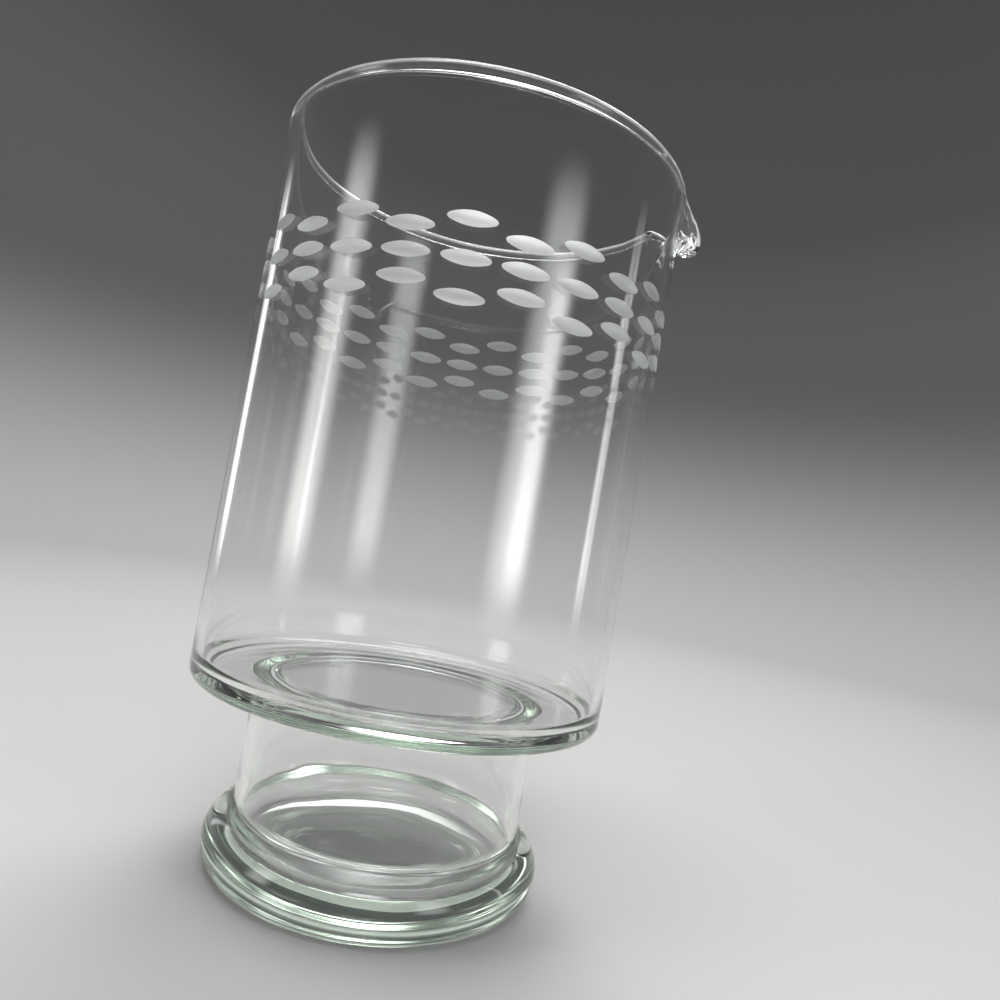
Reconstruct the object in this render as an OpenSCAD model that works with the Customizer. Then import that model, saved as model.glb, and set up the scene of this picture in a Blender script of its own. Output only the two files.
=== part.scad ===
// Cocktail pitcher of clear glass: a straight bowl with a pulled pouring lip and a band of cut ovals,
// fused to a hollow foot with a short neck, a rolled edge and a thick base.
// Millimetres, +Z up. The origin is the centre of the flat resting face and +X points toward the lip.

/* [View] */
// Sub-part to draw, or all of them

/* [Size] */
// Full height from the table to the rim
height = 202.8; // [180:0.2:240]
// Outside diameter of the bowl
bowl_d = 114.3; // [100:0.1:130]
// Thickness of the bowl wall
wall = 2.5; // [2:0.1:4]
// Thickness of the fire-polished bead along the rim
rim_bead = 3.4; // [2.6:0.1:4.4]

/* [Bowl floor] */
// Height of the underside of the bowl, where the neck is fused on
bowl_z = 50; // [44:0.5:60]
// Thickness of the bowl floor
floor_t = 3.8; // [3:0.1:6]
// Outer radius where the bowl wall turns into the underside
heel_r = 3.4; // [2:0.1:6]
// Inner radius where the bowl wall turns into the floor
corner_r = 4.2; // [2:0.1:8]

/* [Pouring lip] */
// How far the lip is pulled out at its middle
lip_reach = 6.9; // [5:0.1:8]
// How far the edge is pulled down at the middle of the lip
lip_drop = 7.3; // [3:0.1:8]
// Height of wall that bends into the lip
lip_h = 13; // [12:0.1:20]
// Half of the angle that the lip takes up on the rim
lip_angle = 16; // [12:0.5:24]
// How many times thicker the rim is where glass gathers at the tip
lip_swell = 1.45; // [1:0.05:1.5]
// How early the wall starts to lean out
lip_lean = 1.25; // [1.1:0.05:2.5]
// How late the edge turns down
lip_curl = 2.4; // [1.5:0.05:2.5]

/* [Cut ovals] */
// Columns around the bowl
columns = 26; // [8:2:26]
// Height of the middle row
oval_z = 158.4; // [120:0.2:170]
// Distance between rows in the wide columns
row_wide = 8.9; // [7:0.1:11]
// Distance between rows in the narrow columns
row_narrow = 6.05; // [5:0.05:8]
// Depth of each cut
cut_depth = 0.47; // [0.2:0.01:0.6]
// Radius of the cutting wheel
wheel_r = 100; // [60:5:150]
// Angle between the two faces of the wheel edge
wheel_edge = 141; // [120:1:150]
// Rounding of the wheel edge between its two faces
wheel_tip = 3; // [1:0.1:4]

/* [Neck and foot] */
// Outside diameter of the neck
neck_d = 79.6; // [70:0.2:90]
// Thickness of the neck wall
neck_wall = 2.8; // [2:0.1:5]
// Radius of the rolled foot edge
roll_r = 8.4; // [7:0.1:10]
// Largest diameter of the foot
foot_d = 93; // [88:0.5:100]
// Thickness of the solid base
base_t = 8.3; // [6:0.1:10]
// Radius of the hollow where it swells into the rolled edge
swell_r = 4.6; // [3:0.1:5]
// Inner rounding of the neck hollow under the bowl
dome_r = 6; // [3:0.5:10]
// Outer rounding between neck and bowl
neck_fillet = 1.5; // [0.5:0.1:3]

/* [Hidden] */
$fa = 3;
$fs = 0.6;
bowl_r = bowl_d / 2;
bore_r = bowl_r - wall;
mid_r = bowl_r - wall / 2;
floor_z = bowl_z + floor_t;
bead_r = max(rim_bead, wall + 0.2) / 2;
lip_z = height - bead_r - lip_h;
neck_r = neck_d / 2;
neck_bore = neck_r - neck_wall;
roll_c = foot_d / 2 - roll_r;
glass = [0.80, 0.88, 0.86];

// The hollow of the foot: a swelling joined to the neck bore by a tangent curve
swell_c = neck_bore - 1.8;
swell_z = base_t + swell_r;
bend_r = 4;
bend_c = neck_bore + bend_r;
bend_z = swell_z + sqrt(pow(swell_r + bend_r, 2) - pow(bend_c - swell_c, 2));
touch = [
    swell_c + (bend_c - swell_c) * swell_r / (swell_r + bend_r),
    swell_z + (bend_z - swell_z) * swell_r / (swell_r + bend_r)
];

// Azimuths of the lip ring. Both ends, and the lower edge, run a little way into the plain glass
// beside them, a hair inside its surface.
bite = 0.5;
inset = 0.03;
half_t = wall / 2 - inset;
ring_a = concat([-lip_angle - bite], [for (i = [-13 : 13]) lip_angle * i / 13], [lip_angle + bite]);

// The rim before the lip is pulled: distance from the middle of the wall, and height above the bend
wall_h = concat([-bite], [for (i = [0 : 8]) lip_h * i / 10], [lip_h - bead_r * 0.9]);
function straight_rim(rad) =
    let (join = acos(half_t / rad), n = len(wall_h))
    concat(
        [for (h = wall_h) [half_t, h]],
        [for (i = [0 : 16]) let (t = -join + (180 + 2 * join) * i / 16) [rad * cos(t), lip_h + rad * sin(t)]],
        [for (i = [n - 1 : -1 : 0]) [-half_t, wall_h[i]]]
    );

// Pulling the lip: the middle of the wall leans out and turns down, and the glass swells toward the edge
function pull(a) = abs(a) >= lip_angle ? 0 : pow(sin(90 * (1 - abs(a) / lip_angle)), 1.6);
function pulled(a, p) =
    let (
        b = pull(a),
        q = min(max(p[1] / lip_h, 0), 1),
        lean = lip_reach * b * lip_lean * pow(q, lip_lean - 1),
        rise = lip_h - lip_drop * b * lip_curl * pow(q, lip_curl - 1),
        turn = atan2(lean, rise),
        swell = 1 + (lip_swell - 1) * b * q * q,
        x = p[0] * swell,
        y = (p[1] - lip_h * q) * swell
    )
    [
        mid_r + lip_reach * b * pow(q, lip_lean) + x * cos(turn) + y * sin(turn),
        lip_z + lip_h * q - lip_drop * b * pow(q, lip_curl) - x * sin(turn) + y * cos(turn)
    ];

// Rim with the pulled lip, as rings of points between two flat ends
module lip_ring() {
    rings = [
        for (a = ring_a)
        let (rad = abs(a) > lip_angle ? half_t : bead_r - inset)
        [for (p = straight_rim(rad)) let (w = pulled(a, p)) [w[0] * cos(a), w[0] * sin(a), w[1]]]
    ];
    n = len(rings[0]);
    m = len(rings);
    points = [for (ring = rings, p = ring) p];
    skin = [
        for (j = [0 : m - 2], i = [0 : n - 1])
        let (k = (i + 1) % n)
        each [[j * n + i, j * n + k, (j + 1) * n + k], [j * n + i, (j + 1) * n + k, (j + 1) * n + i]]
    ];
    near_end = [for (i = [n - 1 : -1 : 0]) i];
    far_end = [for (i = [0 : n - 1]) (m - 1) * n + i];
    polyhedron(points, concat(skin, [near_end, far_end]), convexity = 6);
}

// Plain part of the rim: the straight wall with the round bead on its edge
module plain_rim() {
    rotate_extrude(start = lip_angle, angle = 360 - 2 * lip_angle)
        union() {
            translate([bore_r, lip_z]) square([wall, lip_h]);
            translate([mid_r, lip_z + lip_h]) circle(r = bead_r);
        }
}

// Wall profile below the rim with the rounded heel
module cup_profile(r, z0, round_r) {
    translate([0, z0]) square([r - round_r, height]);
    translate([0, z0 + round_r]) square([r, height]);
    translate([r - round_r, z0 + round_r]) circle(r = round_r);
}

module bowl_body() {
    rotate_extrude()
        intersection() {
            difference() {
                cup_profile(bowl_r, bowl_z, heel_r);
                cup_profile(bore_r, floor_z, corner_r);
            }
            square([bowl_r, lip_z]);
        }
}

// Edge of a cutting wheel: two sloping faces with a rounded tip
module wheel_profile() {
    back = 1.2;
    half = wheel_edge / 2;
    tip_x = wheel_r - wheel_tip;
    face_x = tip_x + wheel_tip * sin(half);
    face_y = wheel_tip * cos(half);
    drop = face_x - wheel_r + back;
    polygon([
        [wheel_r - back, -face_y - drop * tan(half)],
        [face_x, -face_y],
        [face_x, face_y],
        [wheel_r - back, face_y + drop * tan(half)]
    ]);
    intersection() {
        translate([tip_x, 0]) circle(r = wheel_tip);
        translate([wheel_r - back / 2, -wheel_tip]) square([back, 2 * wheel_tip]);
    }
}

// The wheel stands beside the wall and touches it in one oval
module wheel_cut(a, z) {
    reach = asin(6.7 / wheel_r);
    rotate([0, 0, a])
        translate([bowl_r + wheel_r - cut_depth, 0, z])
            rotate_extrude(start = 180 - reach, angle = 2 * reach) wheel_profile();
}

module oval_cuts() {
    for (i = [0 : columns - 1], row = [-1 : 1]) {
        pitch = i % 2 == 0 ? row_narrow : row_wide;
        wheel_cut((i + 0.5) * 360 / columns, oval_z + row * pitch);
    }
}

module bowl() {
    color(glass)
        union() {
            difference() {
                bowl_body();
                oval_cuts();
            }
            plain_rim();
            lip_ring();
        }
}

// Outline of the foot: base and rolled edge, straight neck, small rounding under the bowl
module foot_outline() {
    square([roll_c, roll_r * 1.6]);
    translate([roll_c, roll_r]) circle(r = roll_r);
    translate([0, roll_r]) square([neck_r, bowl_z - roll_r]);
    difference() {
        translate([neck_r - 0.1, bowl_z - neck_fillet - 0.1]) square([neck_fillet + 0.1, neck_fillet + 0.1]);
        translate([neck_r + neck_fillet, bowl_z - neck_fillet - 0.1]) circle(r = neck_fillet);
    }
}

// Hollow of the foot: flat floor, swelling, bend into the bore and a rounded top
module foot_hollow() {
    translate([0, base_t]) square([swell_c, bend_z - base_t]);
    translate([swell_c, swell_z]) circle(r = swell_r);
    difference() {
        translate([swell_c - 1, swell_z]) square([touch[0] - swell_c + 1, bend_z - swell_z]);
        translate([bend_c, bend_z]) circle(r = bend_r);
    }
    translate([0, bend_z - 0.5]) square([neck_bore, bowl_z - dome_r - bend_z + 1]);
    translate([neck_bore - dome_r, bowl_z - dome_r + 0.5]) circle(r = dome_r);
    translate([0, bowl_z - dome_r]) square([neck_bore - dome_r, dome_r + 1]);
}

module foot() {
    color(glass)
        rotate_extrude()
            intersection() {
                difference() {
                    foot_outline();
                    foot_hollow();
                }
                square([foot_d, bowl_z]);
            }
}

bowl();
foot();
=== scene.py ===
"""Looks of a clear glass cocktail pitcher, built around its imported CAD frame.

Two blown pieces are modelled: the bowl with its pulled lip and wheel-cut ovals, and the hollow foot that is
fused to its underside. The glass classes hold millimetres and degrees. The studio classes and all meshes are
in metres.
"""

import logging
import math
from dataclasses import dataclass, field
from enum import Enum
from functools import partial
from typing import Callable, Iterable

import bmesh
import bpy
from mathutils import Matrix, Vector, noise


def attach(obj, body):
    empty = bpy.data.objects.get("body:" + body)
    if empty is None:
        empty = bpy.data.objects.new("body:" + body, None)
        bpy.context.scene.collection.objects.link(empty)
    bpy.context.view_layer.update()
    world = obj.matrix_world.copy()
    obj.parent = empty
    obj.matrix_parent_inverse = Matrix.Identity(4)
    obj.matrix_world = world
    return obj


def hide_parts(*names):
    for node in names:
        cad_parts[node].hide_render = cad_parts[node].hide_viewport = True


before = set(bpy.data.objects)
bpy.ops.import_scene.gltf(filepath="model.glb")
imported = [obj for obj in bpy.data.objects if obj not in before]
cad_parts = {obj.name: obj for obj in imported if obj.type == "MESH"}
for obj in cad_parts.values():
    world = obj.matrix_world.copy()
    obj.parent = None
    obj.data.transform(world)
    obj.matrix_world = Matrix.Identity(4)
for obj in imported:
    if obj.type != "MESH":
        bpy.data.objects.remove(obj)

logging.basicConfig(level=logging.INFO, format="%(message)s")
LOG = logging.getLogger("pitcher")

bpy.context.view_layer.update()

MM = 0.001
CENTRE = (0.0, 0.0, 0.0)
AXIS = (0.0, 0.0, 1.0)

# Outline points closer than this, in millimetres, are one point.
SAME_MM = 1e-4
# Mesh points closer than this, in metres, are merged.
MERGE_M = 1e-7
# A face this close to a height, in metres, lies at that height.
LEVEL_M = 1e-5
# A face whose normal has at least this much of the vertical in it is flat.
FLAT = 0.9
# A point this close to the bore, in millimetres, lies on it.
NEAR_MM = 0.01

Triple = tuple[float, float, float]
FaceTest = Callable[[bmesh.types.BMFace], bool]


class FaceMark(Enum):
    """Face attributes that the glass material reads."""

    CUT = "wheel_cut"
    JOINT = "fused_joint"


class LampRole(Enum):
    """What each softbox does for the glass."""

    TOP = "overhead"
    WINDOW = "window"
    STRIP = "strip"
    BACK = "back"
    LEFT = "left_edge"
    RIGHT = "right_edge"
    FRONT = "front_fill"


# Outlines


@dataclass
class Outline:
    """A line in the r-z plane that a piece is spun from."""

    points: list[tuple[float, float]] = field(default_factory=list)

    def to(self, r: float, z: float) -> "Outline":
        """Adds one point, unless it is the last one again, and returns the outline."""
        if not self.points or math.dist(self.points[-1], (r, z)) > SAME_MM:
            self.points.append((r, z))
        return self

    def rise(self, r: float, heights: Iterable[float]) -> "Outline":
        """Adds points on a straight wall.

        Args:
            r: Radius of the wall.
            heights: Heights of the points, in order.

        Returns:
            The outline itself.
        """
        for z in heights:
            self.to(r, z)
        return self

    def run(self, radii: Iterable[float], z: float) -> "Outline":
        """Adds points on a flat face.

        Args:
            radii: Radii of the points, in order.
            z: Height of the face.

        Returns:
            The outline itself.
        """
        for r in radii:
            self.to(r, z)
        return self

    def arc(self, r: float, z: float, radius: float, start: float, end: float, steps: int) -> "Outline":
        """Adds points on an arc.

        Args:
            r: Radius of the arc's centre from the axis.
            z: Height of the arc's centre.
            radius: Radius of the arc.
            start: First angle in degrees, from +r toward +z.
            end: Last angle in degrees.
            steps: Number of equal steps.

        Returns:
            The outline itself.
        """
        for turn in spread(start, end, steps):
            angle = math.radians(turn)
            self.to(r + radius * math.cos(angle), z + radius * math.sin(angle))
        return self

    def spun(self, steps: int, unit: float = MM, merge: float = MERGE_M) -> bmesh.types.BMesh:
        """Turns the outline about the Z axis.

        Args:
            steps: Number of columns.
            unit: Length of one unit of the outline, in metres.
            merge: Distance in metres below which points become one.

        Returns:
            The skin, in metres, whose normals are still to be set right.
        """
        skin = bmesh.new()
        verts = [skin.verts.new((r * unit, 0.0, z * unit)) for r, z in self.points]
        edges = [skin.edges.new(pair) for pair in zip(verts, verts[1:])]
        bmesh.ops.spin(
            skin,
            geom=verts + edges,
            cent=CENTRE,
            axis=AXIS,
            angle=math.tau,
            steps=steps,
            use_merge=True,
        )
        bmesh.ops.remove_doubles(skin, verts=skin.verts, dist=merge)
        return skin


def spread(low: float, high: float, steps: int) -> list[float]:
    """Returns evenly spaced values from low to high, both included."""
    return [low + (high - low) * i / steps for i in range(steps + 1)]


def add_to_scene(name: str, mesh: bpy.types.Mesh) -> bpy.types.Object:
    """Returns a new object of the scene, at the origin, that shows a mesh."""
    thing = bpy.data.objects.new(name, mesh)
    bpy.context.scene.collection.objects.link(thing)
    return thing


# Shader parts


def calculate(
    tree: bpy.types.ShaderNodeTree, operation: str, *values: float | bpy.types.NodeSocket
) -> bpy.types.NodeSocket:
    """Adds a Math node.

    Args:
        tree: Node tree that gets the node.
        operation: What the node does.
        values: A number or another node's output for each input, in order.

    Returns:
        The node's output.
    """
    node = tree.nodes.new("ShaderNodeMath")
    node.operation = operation
    for socket, value in zip(node.inputs, values):
        if isinstance(value, bpy.types.NodeSocket):
            tree.links.new(value, socket)
        else:
            socket.default_value = value
    return node.outputs[0]


def smooth_ramp(
    tree: bpy.types.ShaderNodeTree, value: bpy.types.NodeSocket, start: float, end: float, top: float = 1.0
) -> bpy.types.NodeSocket:
    """Adds a Map Range node that climbs smoothly.

    Args:
        tree: Node tree that gets the node.
        value: What the node reads.
        start: Value up to which the output is 0.
        end: Value from which the output is at its top.
        top: Highest output.

    Returns:
        The node's output.
    """
    ramp = tree.nodes.new("ShaderNodeMapRange")
    ramp.interpolation_type = "SMOOTHSTEP"
    ramp.inputs["From Min"].default_value = start
    ramp.inputs["From Max"].default_value = end
    ramp.inputs["To Max"].default_value = top
    tree.links.new(value, ramp.inputs["Value"])
    return ramp.outputs["Result"]


def blend(
    tree: bpy.types.ShaderNodeTree, share: bpy.types.NodeSocket, first: Triple, second: Triple
) -> bpy.types.NodeSocket:
    """Adds a Mix node for two colours.

    Args:
        tree: Node tree that gets the node.
        share: Share of the second colour.
        first: Colour at a share of 0.
        second: Colour at a share of 1.

    Returns:
        The node's output.
    """
    mix = tree.nodes.new("ShaderNodeMix")
    mix.data_type = "RGBA"
    mix.inputs["A"].default_value = (*first, 1.0)
    mix.inputs["B"].default_value = (*second, 1.0)
    tree.links.new(share, mix.inputs["Factor"])
    return mix.outputs["Result"]


def read_mark(tree: bpy.types.ShaderNodeTree, mark: FaceMark) -> bpy.types.NodeSocket:
    """Returns the output of a new Attribute node that reads a face mark."""
    reader = tree.nodes.new("ShaderNodeAttribute")
    reader.attribute_name = mark.value
    return reader.outputs["Fac"]


def node_group(name: str, inputs: dict[str, float], outputs: list[str]) -> bpy.types.ShaderNodeTree:
    """Starts a shader node group with a vector input, number inputs and number outputs.

    Args:
        name: Name of the group.
        inputs: Number inputs and their default values.
        outputs: Number outputs.

    Returns:
        The group, with its group input and output nodes named "in" and "out".
    """
    tree = bpy.data.node_groups.new(name, "ShaderNodeTree")
    tree.interface.new_socket("Vector", in_out="INPUT", socket_type="NodeSocketVector")
    for label, value in inputs.items():
        socket = tree.interface.new_socket(label, in_out="INPUT", socket_type="NodeSocketFloat")
        socket.default_value = value
    for label in outputs:
        tree.interface.new_socket(label, in_out="OUTPUT", socket_type="NodeSocketFloat")
    tree.nodes.new("NodeGroupInput").name = "in"
    tree.nodes.new("NodeGroupOutput").name = "out"
    return tree


def wheel_marks() -> bpy.types.ShaderNodeTree:
    """Returns the group for the fine stone grain that a cutting wheel leaves along each oval."""
    tree = node_group("wheel_marks", {"Grain": 1500.0}, ["Grain"])
    nodes, links = tree.nodes, tree.links
    along = nodes.new("ShaderNodeMapping")
    along.inputs["Scale"].default_value = (0.3, 0.3, 1.0)
    links.new(nodes["in"].outputs["Vector"], along.inputs["Vector"])
    grain = nodes.new("ShaderNodeTexNoise")
    grain.inputs["Detail"].default_value = 1.0
    links.new(along.outputs["Vector"], grain.inputs["Vector"])
    links.new(nodes["in"].outputs["Grain"], grain.inputs["Scale"])
    links.new(grain.outputs["Fac"], nodes["out"].inputs["Grain"])
    return tree


# Finishes


@dataclass(frozen=True)
class PitcherGlass:
    """Clear soda-lime glass with matt cuts, one material for both pieces.

    One material covers each closed shell, so that light is tinted by the length of glass it passes. The cuts
    also have a rough coat of a high index, which scatters light as ground glass does.
    """

    tint: Triple = (0.77, 0.92, 0.78)
    density: float = 9.5
    ior: float = 1.5
    matt: float = 0.8
    grain: float = 0.12
    satin: float = 0.62
    scatter: float = 3.9
    clear_tone: Triple = (1.0, 1.0, 1.0)
    cut_tone: Triple = (0.91, 0.95, 0.94)

    def build(self) -> bpy.types.Material:
        """Returns the node material."""
        mat = bpy.data.materials.new("clear_glass")
        mat.use_nodes = True
        tree = mat.node_tree
        links = tree.links
        body = tree.nodes["Principled BSDF"]
        body.inputs["Transmission Weight"].default_value = 1.0
        body.inputs["IOR"].default_value = self.ior
        body.inputs["Coat Roughness"].default_value = self.satin
        body.inputs["Coat IOR"].default_value = self.scatter
        cut = read_mark(tree, FaceMark.CUT)
        joint = read_mark(tree, FaceMark.JOINT)

        where = tree.nodes.new("ShaderNodeTexCoord")
        marks = tree.nodes.new("ShaderNodeGroup")
        marks.node_tree = wheel_marks()
        links.new(where.outputs["Object"], marks.inputs["Vector"])
        level = tree.nodes.new("ShaderNodeMapRange")
        level.inputs["To Min"].default_value = self.matt - self.grain
        level.inputs["To Max"].default_value = self.matt + self.grain
        links.new(marks.outputs["Grain"], level.inputs["Value"])
        links.new(calculate(tree, "MULTIPLY", level.outputs["Result"], cut), body.inputs["Roughness"])
        links.new(cut, body.inputs["Coat Weight"])
        links.new(blend(tree, cut, self.clear_tone, self.cut_tone), body.inputs["Base Color"])
        links.new(calculate(tree, "SUBTRACT", 1.0, joint), body.inputs["Alpha"])

        depth = tree.nodes.new("ShaderNodeVolumeAbsorption")
        depth.inputs["Color"].default_value = (*self.tint, 1.0)
        depth.inputs["Density"].default_value = self.density
        links.new(depth.outputs["Volume"], tree.nodes["Material Output"].inputs["Volume"])
        return mat


@dataclass(frozen=True)
class PaperSweep:
    """Seamless paper: pale on the floor, and graded to a soft grey up the backdrop."""

    floor: Triple = (0.70, 0.70, 0.69)
    wall: Triple = (0.16, 0.16, 0.165)
    grade: tuple[float, float] = (-0.05, 0.5)
    roughness: float = 0.9

    def build(self) -> bpy.types.Material:
        """Returns the node material."""
        mat = bpy.data.materials.new("pale_paper")
        mat.use_nodes = True
        tree = mat.node_tree
        body = tree.nodes["Principled BSDF"]
        body.inputs["Roughness"].default_value = self.roughness
        where = tree.nodes.new("ShaderNodeTexCoord")
        height = tree.nodes.new("ShaderNodeSeparateXYZ")
        tree.links.new(where.outputs["Object"], height.inputs["Vector"])
        climb = smooth_ramp(tree, height.outputs["Z"], *self.grade)
        tree.links.new(blend(tree, climb, self.floor, self.wall), body.inputs["Base Color"])
        return mat


# Glass pieces


@dataclass(frozen=True)
class Waves:
    """Unevenness of blown glass: depth, and length across and along the axis, in millimetres.

    Finer waves lie over the long ones, with a share of their depth and their own shift.
    """

    depth: float
    across: float
    along: float
    fine_share: float = 0.4
    finer: float = 2.3
    shift: Triple = (7.1, 3.3, 1.9)

    def swell(self, place: Vector) -> float:
        """Returns how far the surface is moved at a place in metres, in millimetres."""
        spot = Vector((place.x / self.across, place.y / self.across, place.z / self.along)) / MM
        fine = noise.noise(spot * self.finer + Vector(self.shift))
        return self.depth * (noise.noise(spot) + self.fine_share * fine)


@dataclass
class BlownPiece:
    """A closed shell of glass that is spun from an outline.

    The crowd number draws the columns of the spin together around +X, where a lip needs them. An edge stays
    sharp where its faces meet at more than the crease angle.
    """

    name: str
    node: str
    steps: int = 288
    crowd: float = 0.0
    crease: float = 40.0

    def spin(self, outline: Outline) -> bmesh.types.BMesh:
        """Turns an outline that starts and ends on the axis into a closed shell.

        Args:
            outline: The line to turn about the Z axis.

        Returns:
            The shell, in metres, with its normals outward.
        """
        shell = outline.spun(self.steps)
        for vert in shell.verts:
            angle = math.atan2(vert.co.y, vert.co.x)
            vert.co = Matrix.Rotation(-self.crowd * math.sin(angle), 3, "Z") @ vert.co
        bmesh.ops.recalc_face_normals(shell, faces=shell.faces)
        return shell

    def hand_blown(
        self, shell: bmesh.types.BMesh, waves: Waves, share_at: Callable[[float, float], float]
    ) -> None:
        """Moves the polished surface in and out a little, as blown glass is never quite even.

        Args:
            shell: The spun shell.
            waves: Depth and length of the unevenness.
            share_at: Gives from 0 to 1 how uneven the glass is at a radius and height in millimetres.
        """
        shell.normal_update()
        moves = []
        for vert in shell.verts:
            share = share_at(vert.co.xy.length / MM, vert.co.z / MM)
            moves.append(vert.normal * (share * waves.swell(vert.co) * MM) if share > 0 else None)
        for vert, move in zip(shell.verts, moves):
            if move:
                vert.co += move

    def lies_flat(self, face: bmesh.types.BMFace, height: float, side: int) -> bool:
        """Tells whether a face is part of a flat end of the piece.

        Args:
            face: The face.
            height: Height of the flat end, in millimetres.
            side: 1 where the flat end looks up, and -1 where it looks down.

        Returns:
            Whether the face lies there and looks that way.
        """
        return face.normal.z * side > FLAT and abs(face.calc_center_median().z - height * MM) < LEVEL_M

    def mark_faces(self, shell: bmesh.types.BMesh, mark: FaceMark, test: FaceTest) -> None:
        """Writes a face attribute.

        Args:
            shell: The shell to mark.
            mark: Which attribute to write.
            test: Says which faces get 1; the others get 0.
        """
        layer = shell.faces.layers.float.get(mark.value) or shell.faces.layers.float.new(mark.value)
        for face in shell.faces:
            face[layer] = 1.0 if test(face) else 0.0

    def place(self, shell: bmesh.types.BMesh) -> bpy.types.Object:
        """Makes the scene object of a finished shell.

        Args:
            shell: The shell, freed afterwards.

        Returns:
            The object, at the origin.
        """
        mesh = bpy.data.meshes.new(self.name)
        for face in shell.faces:
            face.smooth = True
        shell.to_mesh(mesh)
        shell.free()
        mesh.set_sharp_from_angle(angle=math.radians(self.crease))
        return add_to_scene(self.name, mesh)

    def dress(self, piece: bpy.types.Object, glass: bpy.types.Material) -> None:
        """Gives a piece its material, ties it to the root body and hides its CAD node.

        Args:
            piece: The finished piece.
            glass: Material of the glass.
        """
        piece.data.materials.clear()
        piece.data.materials.append(glass)
        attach(piece, "root")
        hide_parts(self.node)
        LOG.info("%s: %d faces", self.name, len(piece.data.polygons))


@dataclass
class Bowl(BlownPiece):
    """Straight bowl with a closed floor, a round rim, a pulled lip and three rows of cut ovals."""

    name: str = "bowl_glass"
    node: str = "bowl"
    crowd: float = 0.5

    # Wall, floor and rim
    radius: float = 57.15
    wall: float = 2.5
    height: float = 202.8
    base_z: float = 50.0
    floor_t: float = 3.8
    heel_r: float = 3.4
    corner_r: float = 4.2
    rim_bead: float = 3.4
    bead_gap: float = 0.1

    # Ring on the underside that is fused to the foot
    joint_r: tuple[float, float] = (33.4, 41.3)

    # Unevenness inside the wall, from its lowest height, and the height over which it fades at both ends
    waves: Waves = Waves(depth=0.03, across=14.0, along=70.0)
    waves_from: float = 60.0
    waves_fade: float = 12.0

    # Pulled lip
    lip_reach: float = 6.9
    lip_drop: float = 7.3
    lip_h: float = 13.0
    lip_angle: float = 16.0
    lip_swell: float = 1.45
    lip_lean: float = 1.25
    lip_curl: float = 2.4
    lip_ease: float = 1.6

    # Cut ovals: their columns, middle height and two spacings of the rows
    columns: int = 26
    oval_z: float = 158.4
    row_wide: float = 8.9
    row_narrow: float = 6.05
    cut_depth: float = 0.47

    # Cutting wheel: angle and rounding of its edge, and the depth and half length that are modelled
    wheel_r: float = 100.0
    wheel_edge: float = 141.0
    wheel_tip: float = 3.0
    wheel_back: float = 1.2
    wheel_half: float = 6.7

    # Heights between which the wall's shading is kept round, and the depth that counts as its outside
    cut_band: tuple[float, float] = (143.5, 173.5)
    skin_depth: float = 0.3

    # Heights of the rings on the plain wall: outside, and inside from top to bottom with their number
    wall_rings: tuple[float, ...] = (60.0, 75.0, 100.0, 125.0, 144.0, 173.0)
    bore_rings: tuple[float, float, int] = (185.0, 62.0, 30)
    floor_ring: float = 30.0

    @property
    def bore(self) -> float:
        """Inner radius of the wall."""
        return self.radius - self.wall

    @property
    def mid_r(self) -> float:
        """Radius of the middle of the wall."""
        return self.radius - self.wall / 2

    @property
    def lip_z(self) -> float:
        """Height where the wall starts to bend into the lip."""
        return self.height - self.rim_bead / 2 - self.lip_h

    def outline(self) -> Outline:
        """Returns the section from the middle of the underside to the middle of the floor."""
        floor_z = self.base_z + self.floor_t
        top = self.lip_z + self.lip_h
        bead_r = self.rim_bead / 2
        join = math.degrees(math.acos(self.wall / self.rim_bead))
        under_bead = top - bead_r * math.sin(math.radians(join)) - self.bead_gap
        lip = spread(self.lip_z, under_bead, steps=22)
        line = Outline().to(0, self.base_z).to(self.joint_r[0] / 2, self.base_z)
        line.to(self.joint_r[0], self.base_z).to(self.joint_r[1], self.base_z)
        line.arc(self.radius - self.heel_r, self.base_z + self.heel_r, self.heel_r, -90, 0, steps=12)
        line.rise(self.radius, self.wall_rings).rise(self.radius, lip)
        line.arc(self.mid_r, top, bead_r, -join, 180 + join, steps=28)
        line.rise(self.bore, reversed(lip)).rise(self.bore, spread(*self.bore_rings))
        line.arc(self.bore - self.corner_r, floor_z + self.corner_r, self.corner_r, 0, -90, steps=12)
        return line.to(self.floor_ring, floor_z).to(0, floor_z)

    def pull_lip(self, shell: bmesh.types.BMesh) -> None:
        """Leans the upper wall out and curls it down around +X, and gathers glass toward its edge.

        Args:
            shell: The spun bowl.
        """
        for vert in shell.verts:
            r, z = math.hypot(vert.co.x, vert.co.y) / MM, vert.co.z / MM
            angle = math.degrees(math.atan2(vert.co.y, vert.co.x))
            if z <= self.lip_z or abs(angle) >= self.lip_angle:
                continue
            pull = math.sin(math.pi / 2 * (1 - abs(angle) / self.lip_angle)) ** self.lip_ease
            q = min((z - self.lip_z) / self.lip_h, 1.0)
            lean = self.lip_reach * pull * self.lip_lean * q ** (self.lip_lean - 1)
            rise = self.lip_h - self.lip_drop * pull * self.lip_curl * q ** (self.lip_curl - 1)
            swell = 1 + (self.lip_swell - 1) * pull * q * q
            off = Vector((r - self.mid_r, z - self.lip_z - self.lip_h * q)) * swell
            off = Matrix.Rotation(-math.atan2(lean, rise), 2) @ off
            new_r = self.mid_r + self.lip_reach * pull * q**self.lip_lean + off.x
            new_z = self.lip_z + self.lip_h * q - self.lip_drop * pull * q**self.lip_curl + off.y
            vert.co = Vector((vert.co.x / r * new_r, vert.co.y / r * new_r, new_z * MM))

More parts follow.
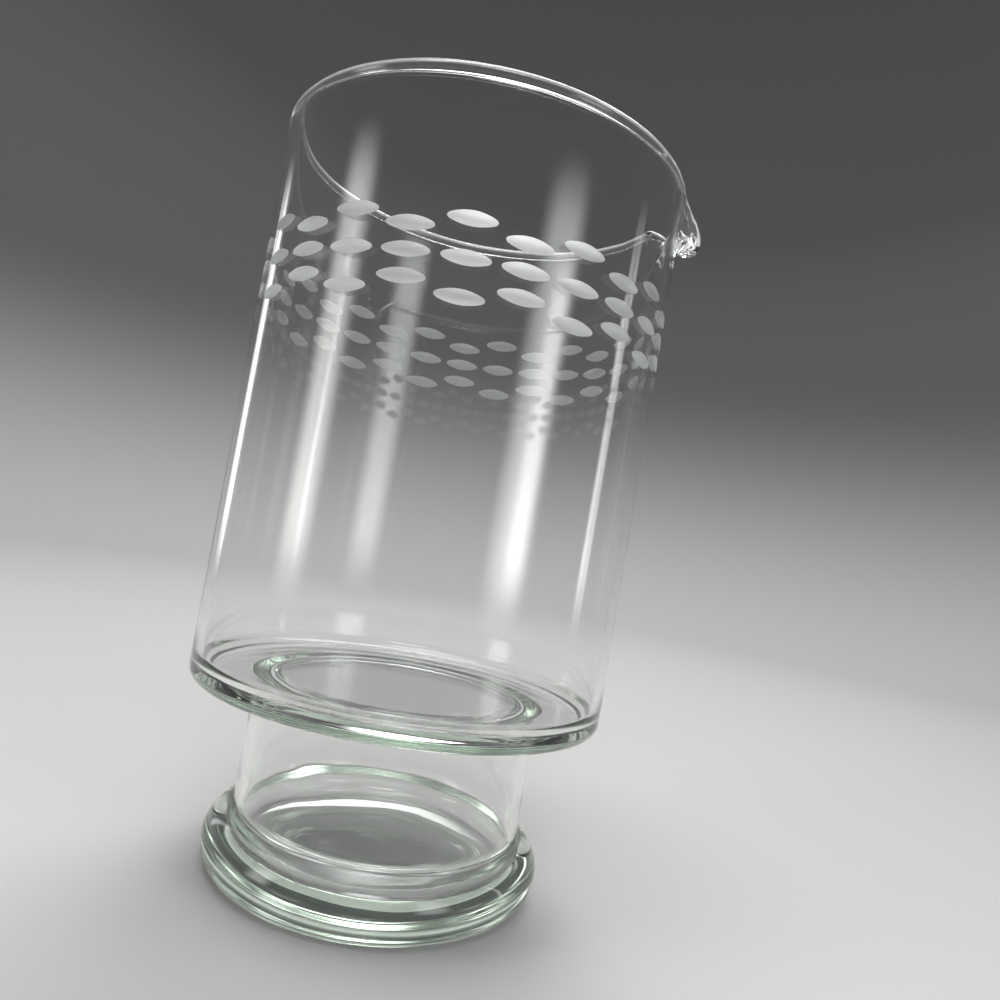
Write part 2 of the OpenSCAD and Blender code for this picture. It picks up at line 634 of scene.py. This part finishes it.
    def wheel(self) -> Outline:
        """Returns the section of the cutting wheel's edge, a rounded V, from its own axis."""
        half = math.radians(self.wheel_edge / 2)
        tip_x = self.wheel_r - self.wheel_tip
        face_x = tip_x + self.wheel_tip * math.sin(half)
        face_z = self.wheel_tip * math.cos(half)
        back = self.wheel_r - self.wheel_back
        rise = (face_x - back) * math.tan(half)
        line = Outline().to(back, -face_z - rise)
        line.arc(tip_x, 0, self.wheel_tip, math.degrees(half) - 90, 90 - math.degrees(half), steps=10)
        return line.to(back, face_z + rise)

    def wheel_edge_piece(self) -> bmesh.types.BMesh:
        """Returns the short stretch of the wheel's edge that meets the wall, around the wheel's own axis."""
        tool = bmesh.new()
        reach = math.asin(self.wheel_half / self.wheel_r)
        verts = [tool.verts.new((r * MM, 0.0, z * MM)) for r, z in self.wheel().points]
        edge = tool.faces.new(verts)
        start = Matrix.Rotation(math.pi - reach, 3, "Z")
        bmesh.ops.rotate(tool, verts=verts, cent=CENTRE, matrix=start)
        bmesh.ops.spin(
            tool,
            geom=[edge],
            cent=CENTRE,
            axis=AXIS,
            angle=2 * reach,
            steps=20,
            use_duplicate=False,
        )
        bmesh.ops.remove_doubles(tool, verts=tool.verts, dist=MERGE_M)
        bmesh.ops.recalc_face_normals(tool, faces=tool.faces)
        return tool

    def cutters(self) -> bpy.types.Object:
        """Returns one object that holds a short stretch of wheel edge for each oval."""
        tool = self.wheel_edge_piece()
        first = tool.verts[:] + tool.edges[:] + tool.faces[:]
        out = (self.radius + self.wheel_r - self.cut_depth) * MM
        for column in range(self.columns):
            pitch = self.row_narrow if column % 2 == 0 else self.row_wide
            turn = Matrix.Rotation(math.tau * (column + 0.5) / self.columns, 3, "Z")
            for row in (-1, 0, 1):
                copy = bmesh.ops.duplicate(tool, geom=first)["geom"]
                moved = [v for v in copy if isinstance(v, bmesh.types.BMVert)]
                up = (self.oval_z + row * pitch) * MM
                bmesh.ops.translate(tool, verts=moved, vec=(out, 0, up))
                bmesh.ops.rotate(tool, verts=moved, cent=CENTRE, matrix=turn)
        first_verts = [v for v in first if isinstance(v, bmesh.types.BMVert)]
        bmesh.ops.delete(tool, geom=first_verts, context="VERTS")
        mesh = bpy.data.meshes.new("oval_cutters")
        tool.to_mesh(mesh)
        tool.free()
        mesh.materials.append(bpy.data.materials.new("cut_side"))
        return add_to_scene("oval_cutters", mesh)

    def cut_ovals(self, piece: bpy.types.Object) -> None:
        """Grinds the ovals into the wall and marks their faces.

        Args:
            piece: The bowl, still plain.
        """
        cutter = self.cutters()
        piece.data.materials.append(bpy.data.materials.new("skin_side"))
        tool = piece.modifiers.new("ovals", "BOOLEAN")
        tool.operation = "DIFFERENCE"
        tool.solver = "EXACT"
        tool.object = cutter
        tool.material_mode = "TRANSFER"
        done = piece.evaluated_get(bpy.context.evaluated_depsgraph_get())
        mesh = bpy.data.meshes.new_from_object(done)
        piece.modifiers.clear()
        piece.data = mesh
        mesh.name = self.name
        layers = mesh.attributes
        marks = layers.get(FaceMark.CUT.value) or layers.new(FaceMark.CUT.value, "FLOAT", "FACE")
        names = [m.name if m else "" for m in mesh.materials]
        for face in mesh.polygons:
            marks.data[face.index].value = 1.0 if names[face.material_index] == "cut_side" else 0.0
        self.keep_wall_round(mesh, marks)
        bpy.data.objects.remove(cutter)
        for face in mesh.polygons:
            face.material_index = 0

    def on_cut_band(self, corners: Iterable[Vector]) -> bool:
        """Returns whether all corners lie on the outside of the wall in the band of the ovals."""
        low, high = self.cut_band
        skin = (self.radius - self.skin_depth) * MM
        return all(low * MM < c.z < high * MM and math.hypot(c.x, c.y) > skin for c in corners)

    def keep_wall_round(self, mesh: bpy.types.Mesh, marks: bpy.types.Attribute) -> None:
        """Keeps the polished wall's shading round between the cuts and their edges crisp.

        Args:
            mesh: The cut bowl.
            marks: The face attribute that says which faces are cut.
        """
        is_cut = [item.value > 0.5 for item in marks.data]
        sides: dict[int, set[bool]] = {}
        for face in mesh.polygons:
            face.use_smooth = True
            for index in face.loop_indices:
                sides.setdefault(mesh.loops[index].edge_index, set()).add(is_cut[face.index])
        for edge, kinds in sides.items():
            if len(kinds) == 2:
                mesh.edges[edge].use_edge_sharp = True
        mesh.update()
        normals = [Vector(n.vector) for n in mesh.corner_normals]
        count = 0
        for face in mesh.polygons:
            if is_cut[face.index] or not self.on_cut_band(mesh.vertices[v].co for v in face.vertices):
                continue
            for index in face.loop_indices:
                co = mesh.vertices[mesh.loops[index].vertex_index].co
                normals[index] = Vector((co.x, co.y, 0.0)).normalized()
                count += 1
        mesh.normals_split_custom_set(normals)
        LOG.info("wall normals set on %d corners", count)

    def uneven(self, r: float, z: float) -> float:
        """Returns 1 on the inside of the plain wall, less toward its two ends, and 0 elsewhere."""
        if abs(r - self.bore) >= NEAR_MM:
            return 0.0
        from_ends = min(z - self.waves_from, self.lip_z - z)
        return max(0.0, min(from_ends / self.waves_fade, 1.0))

    def build(self, glass: bpy.types.Material) -> bpy.types.Object:
        """Builds the bowl.

        Args:
            glass: Material of the glass.

        Returns:
            The dressed bowl.
        """
        shell = self.spin(self.outline())
        low, high = self.joint_r
        self.mark_faces(
            shell,
            FaceMark.JOINT,
            lambda f: self.lies_flat(f, self.base_z, -1)
            and low < f.calc_center_median().xy.length / MM < high,
        )
        self.hand_blown(shell, self.waves, self.uneven)
        self.pull_lip(shell)
        piece = self.place(shell)
        self.cut_ovals(piece)
        self.dress(piece, glass)
        return piece


@dataclass
class Foot(BlownPiece):
    """Hollow foot with a thick base, a rolled edge and a short neck, open where the bowl closes it."""

    name: str = "foot_glass"
    node: str = "foot"
    steps: int = 432
    crease: float = 50.0

    # Base, rolled edge and neck
    top_z: float = 50.0
    neck_r: float = 39.8
    neck_wall: float = 2.8
    roll_r: float = 8.4
    foot_r: float = 46.5
    base_t: float = 8.3
    base_rings: tuple[float, float] = (12.0, 25.0)
    neck_from: float = 17.5

    # Hollow: how far its swelling lies in from the bore, and how far its top rises over the joint
    swell_r: float = 4.6
    swell_in: float = 1.8
    bend_r: float = 4.0
    dome_r: float = 6.0
    dome_rise: float = 0.5

    # Rounding under the bowl, where it ends and how thin it gets, and the gap to the bowl
    fillet: float = 1.5
    fillet_end: float = 96.0
    fillet_gap: float = 0.1
    fillet_edge: float = 0.08
    seam: float = 0.02

    # Unevenness of the hollow, and the height over which it fades under the joint
    waves: Waves = Waves(depth=0.11, across=26.0, along=9.0)
    waves_stop: float = 1.0
    waves_fade: float = 4.0
    waves_margin: float = 0.5

    # How far the hollow's surface can lie outside the neck's radius, in the rolled edge and above it
    skin_in_roll: float = 0.2
    skin_in_neck: float = -0.8

    def outline(self) -> Outline:
        """Returns the section from the middle of the resting face to the middle of the hollow's floor."""
        roll_c = self.foot_r - self.roll_r
        crease = math.degrees(math.acos((self.neck_r - roll_c) / self.roll_r))
        bore = self.neck_r - self.neck_wall
        top = self.top_z - self.seam
        swell_c, swell_z = bore - self.swell_in, self.base_t + self.swell_r
        bend_c = bore + self.bend_r
        bend_z = swell_z + math.sqrt((self.swell_r + self.bend_r) ** 2 - (bend_c - swell_c) ** 2)
        meet = math.degrees(math.atan2(bend_z - swell_z, bend_c - swell_c))
        dome_z = self.top_z - self.dome_r + self.dome_rise
        dome_end = math.degrees(math.asin((top - dome_z) / self.dome_r))
        fillet_r, fillet_z = self.neck_r + self.fillet, self.top_z - self.fillet - self.fillet_gap
        neck_top = self.top_z - self.fillet - 4 * self.fillet_gap

        line = Outline().to(0, 0).run(self.base_rings, 0)
        line.arc(roll_c, self.roll_r, self.roll_r, -90, crease, steps=40)
        line.rise(self.neck_r, spread(self.neck_from, neck_top, steps=8))
        line.arc(fillet_r, fillet_z, self.fillet, 180, self.fillet_end, steps=8)
        line.to(fillet_r, self.top_z - self.fillet_edge).to(fillet_r, top)
        line.arc(bore - self.dome_r, dome_z, self.dome_r, dome_end, 0, steps=12)
        line.rise(bore, reversed(spread(bend_z, dome_z, steps=16)))
        line.arc(bend_c, bend_z, self.bend_r, 180, 180 + meet, steps=8)
        line.arc(swell_c, swell_z, self.swell_r, meet, -90, steps=18)
        return line.run(reversed(spread(0, swell_c, steps=14)), self.base_t)

    def uneven(self, r: float, z: float) -> float:
        """Returns 1 on the surface of the hollow, and less toward the fused joint."""
        in_roll = z < 2 * self.roll_r - self.waves_margin
        skin = self.neck_r + (self.skin_in_roll if in_roll else self.skin_in_neck)
        below_stop = self.top_z - self.waves_stop - z
        if z <= self.base_t - self.waves_margin or below_stop <= 0 or r > skin:
            return 0.0
        return min(below_stop / self.waves_fade, 1.0)

    def build(self, glass: bpy.types.Material) -> bpy.types.Object:
        """Builds the foot.

        Args:
            glass: Material of the glass.

        Returns:
            The dressed foot.
        """
        shell = self.spin(self.outline())
        self.mark_faces(shell, FaceMark.JOINT, lambda f: self.lies_flat(f, self.top_z - self.seam, 1))
        self.mark_faces(shell, FaceMark.CUT, lambda f: False)
        self.hand_blown(shell, self.waves, self.uneven)
        piece = self.place(shell)
        self.dress(piece, glass)
        return piece


# Studio


@dataclass(frozen=True)
class Softbox:
    """A rectangular lamp that looks at the pitcher, bright in its middle and fading toward its edges.

    Places and sizes are in metres, power is in watts and spread in degrees. The aim is a height on the axis
    of the pitcher. A screened lamp stands at the pitcher's height. It shows as a reflection in the glass, but
    not as a bright panel straight through it from behind.
    """

    role: LampRole
    place: Triple
    size: tuple[float, float]
    power: float
    aim: float = 0.1
    color: Triple = (1.0, 1.0, 1.0)
    spread: float = 180.0
    screened: bool = False
    fade_x: float = 0.4
    fade_y: float = 0.2
    gain: float = 2.1

    def reflected_only(self, tree: bpy.types.ShaderNodeTree) -> bpy.types.NodeSocket:
        """Returns 0 for light that came through clear glass without any reflection, and else 1."""
        path = tree.nodes.new("ShaderNodeLightPath")
        through = calculate(tree, "MINIMUM", path.outputs["Transmission Depth"], 1.0)
        straight = calculate(tree, "GREATER_THAN", through, path.outputs["Glossy Depth"])
        return calculate(tree, "SUBTRACT", 1.0, straight)

    def fade(self, lamp: bpy.types.Light) -> None:
        """Lets the cloth of the softbox fade toward its edges, and keeps the lamp's power about the same.

        Args:
            lamp: The lamp's data.
        """
        lamp.use_nodes = True
        tree = lamp.node_tree
        spot = tree.nodes.new("ShaderNodeNewGeometry")
        split = tree.nodes.new("ShaderNodeSeparateXYZ")
        tree.links.new(spot.outputs["Parametric"], split.inputs["Vector"])
        sides = []
        for axis, reach in (("X", self.fade_x), ("Y", self.fade_y)):
            side = calculate(tree, "PINGPONG", split.outputs[axis], 0.5)
            sides.append(smooth_ramp(tree, side, 0.0, reach, math.sqrt(self.gain)))
        cloth = calculate(tree, "MULTIPLY", *sides)
        if self.screened:
            cloth = calculate(tree, "MULTIPLY", cloth, self.reflected_only(tree))
        tree.links.new(cloth, tree.nodes["Emission"].inputs["Strength"])

    def build(self) -> bpy.types.Object:
        """Hangs the lamp, facing the height on the pitcher's axis that it aims at.

        Returns:
            The lamp object.
        """
        lamp = bpy.data.lights.new(f"softbox_{self.role.value}", "AREA")
        lamp.shape = "RECTANGLE"
        lamp.size, lamp.size_y = self.size
        lamp.energy = self.power
        lamp.color = self.color
        lamp.spread = math.radians(self.spread)
        self.fade(lamp)
        hung = bpy.data.objects.new(lamp.name, lamp)
        hung.location = self.place
        away = Vector(self.place) - Vector((0.0, 0.0, self.aim))
        hung.rotation_euler = away.to_track_quat("Z", "Y").to_euler()
        hung.visible_camera = False
        bpy.context.scene.collection.objects.link(hung)
        return hung


@dataclass(frozen=True)
class PhotoView:
    """Camera of the photograph's view, with its distance and height in millimetres and angles in degrees.

    The lens is given as a share of the sensor's width. The camera is rolled, as it was for the photograph,
    and the pitcher stands straight.
    """

    sensor: float = 36.0
    lens: float = 0.7805
    turn: float = -88.0
    away: float = 226.98
    height: float = 99.17
    look: Triple = (0.0499, 0.9977, 0.0465)
    roll: float = 9.77
    clip: tuple[float, float] = (0.01, 20.0)

    def build(self) -> bpy.types.Object:
        """Returns the camera, set as the scene's camera."""
        data = bpy.data.cameras.new("photo_view")
        data.sensor_fit = "HORIZONTAL"
        data.sensor_width = self.sensor
        data.lens = self.lens * self.sensor
        data.clip_start, data.clip_end = self.clip
        turn, away = math.radians(self.turn), self.away * MM
        place = Vector((away * math.cos(turn), away * math.sin(turn), self.height * MM))
        look = Vector(self.look).normalized()
        level = look.cross(Vector(AXIS)).normalized()
        stand = level.cross(look)
        roll = math.radians(self.roll)
        right = level * math.cos(roll) + stand * math.sin(roll)
        up = stand * math.cos(roll) - level * math.sin(roll)
        view = bpy.data.objects.new("photo_view", data)
        axes = Matrix((right, up, -look)).transposed().to_4x4()
        view.matrix_world = Matrix.Translation(place) @ axes
        bpy.context.scene.collection.objects.link(view)
        bpy.context.scene.camera = view
        return view


def softboxes() -> tuple[Softbox, ...]:
    """Returns the lamps: three high ones, and four at the pitcher's height for its reflections."""
    beside = partial(Softbox, aim=0.23, spread=115.0, screened=True)
    warm, cool = (1.0, 0.985, 0.965), (0.97, 0.985, 1.0)
    return (
        Softbox(LampRole.TOP, place=(-0.15, -0.15, 1.35), size=(0.8, 0.8), power=5.0),
        Softbox(LampRole.BACK, place=(0.15, 0.7, 1.2), size=(1.2, 0.5), power=8.0),
        Softbox(LampRole.FRONT, place=(0.05, -0.85, 1.0), size=(0.7, 0.4), power=4.5, aim=1.0),
        beside(LampRole.WINDOW, place=(-0.52, -0.24, 0.23), size=(0.24, 0.46), power=0.33, color=warm),
        beside(LampRole.STRIP, place=(0.40, -0.40, 0.23), size=(0.30, 0.46), power=0.35, color=cool),
        beside(LampRole.LEFT, place=(-0.50, 0.42, 0.23), size=(0.09, 0.46), power=0.055),
        beside(LampRole.RIGHT, place=(0.60, 0.06, 0.23), size=(0.05, 0.46), power=0.05),
    )


@dataclass
class Studio:
    """Round pale sweep, softboxes, a plain world and the camera of the photograph's view."""

    floor_r: float = 0.9
    sweep_r: float = 0.5
    wall_top: float = 1.6
    drop: float = 0.0003
    merge: float = 1e-6
    world: float = 0.28
    glossy_bounces: int = 12
    transmission_bounces: int = 16
    max_bounces: int = 20

    def sweep(self) -> bpy.types.Object:
        """Returns the floor that curves up into a wall all round, a hair under the resting face."""
        line = Outline().to(0, -self.drop).to(self.floor_r, -self.drop)
        line.arc(self.floor_r, self.sweep_r - self.drop, self.sweep_r, -90, 0, steps=16)
        line.to(self.floor_r + self.sweep_r, self.wall_top - self.drop)
        paper = line.spun(steps=96, unit=1.0, merge=self.merge)
        bmesh.ops.recalc_face_normals(paper, faces=paper.faces)
        if sum(f.normal.z for f in paper.faces) < 0:
            bmesh.ops.reverse_faces(paper, faces=paper.faces)
        for face in paper.faces:
            face.smooth = True
        mesh = bpy.data.meshes.new("paper_sweep")
        paper.to_mesh(mesh)
        paper.free()
        mesh.materials.append(PaperSweep().build())
        floor = add_to_scene("paper_sweep", mesh)
        return floor

    def air(self) -> None:
        """Sets the plain grey world."""
        world = bpy.data.worlds.new("studio_air")
        world.use_nodes = True
        grey = (self.world, self.world, self.world, 1.0)
        world.node_tree.nodes["Background"].inputs["Color"].default_value = grey
        bpy.context.scene.world = world

    def allow_bounces(self) -> None:
        """Lets light be guided through thick glass, which reflects it inside many times."""
        paths = bpy.context.scene.cycles
        paths.glossy_bounces = self.glossy_bounces
        paths.transmission_bounces = self.transmission_bounces
        paths.max_bounces = self.max_bounces

    def build(self) -> None:
        """Builds the whole studio and sets the plain view transform."""
        PhotoView().build()
        self.sweep()
        self.air()
        lamps = [softbox.build() for softbox in softboxes()]
        bpy.context.scene.view_settings.view_transform = "Standard"
        self.allow_bounces()
        LOG.info("studio: %d softboxes", len(lamps))


def main() -> None:
    """Builds the studio and the pitcher in order."""
    Studio().build()
    glass = PitcherGlass().build()
    Bowl().build(glass)
    Foot().build(glass)


if __name__ == "__main__":
    main()
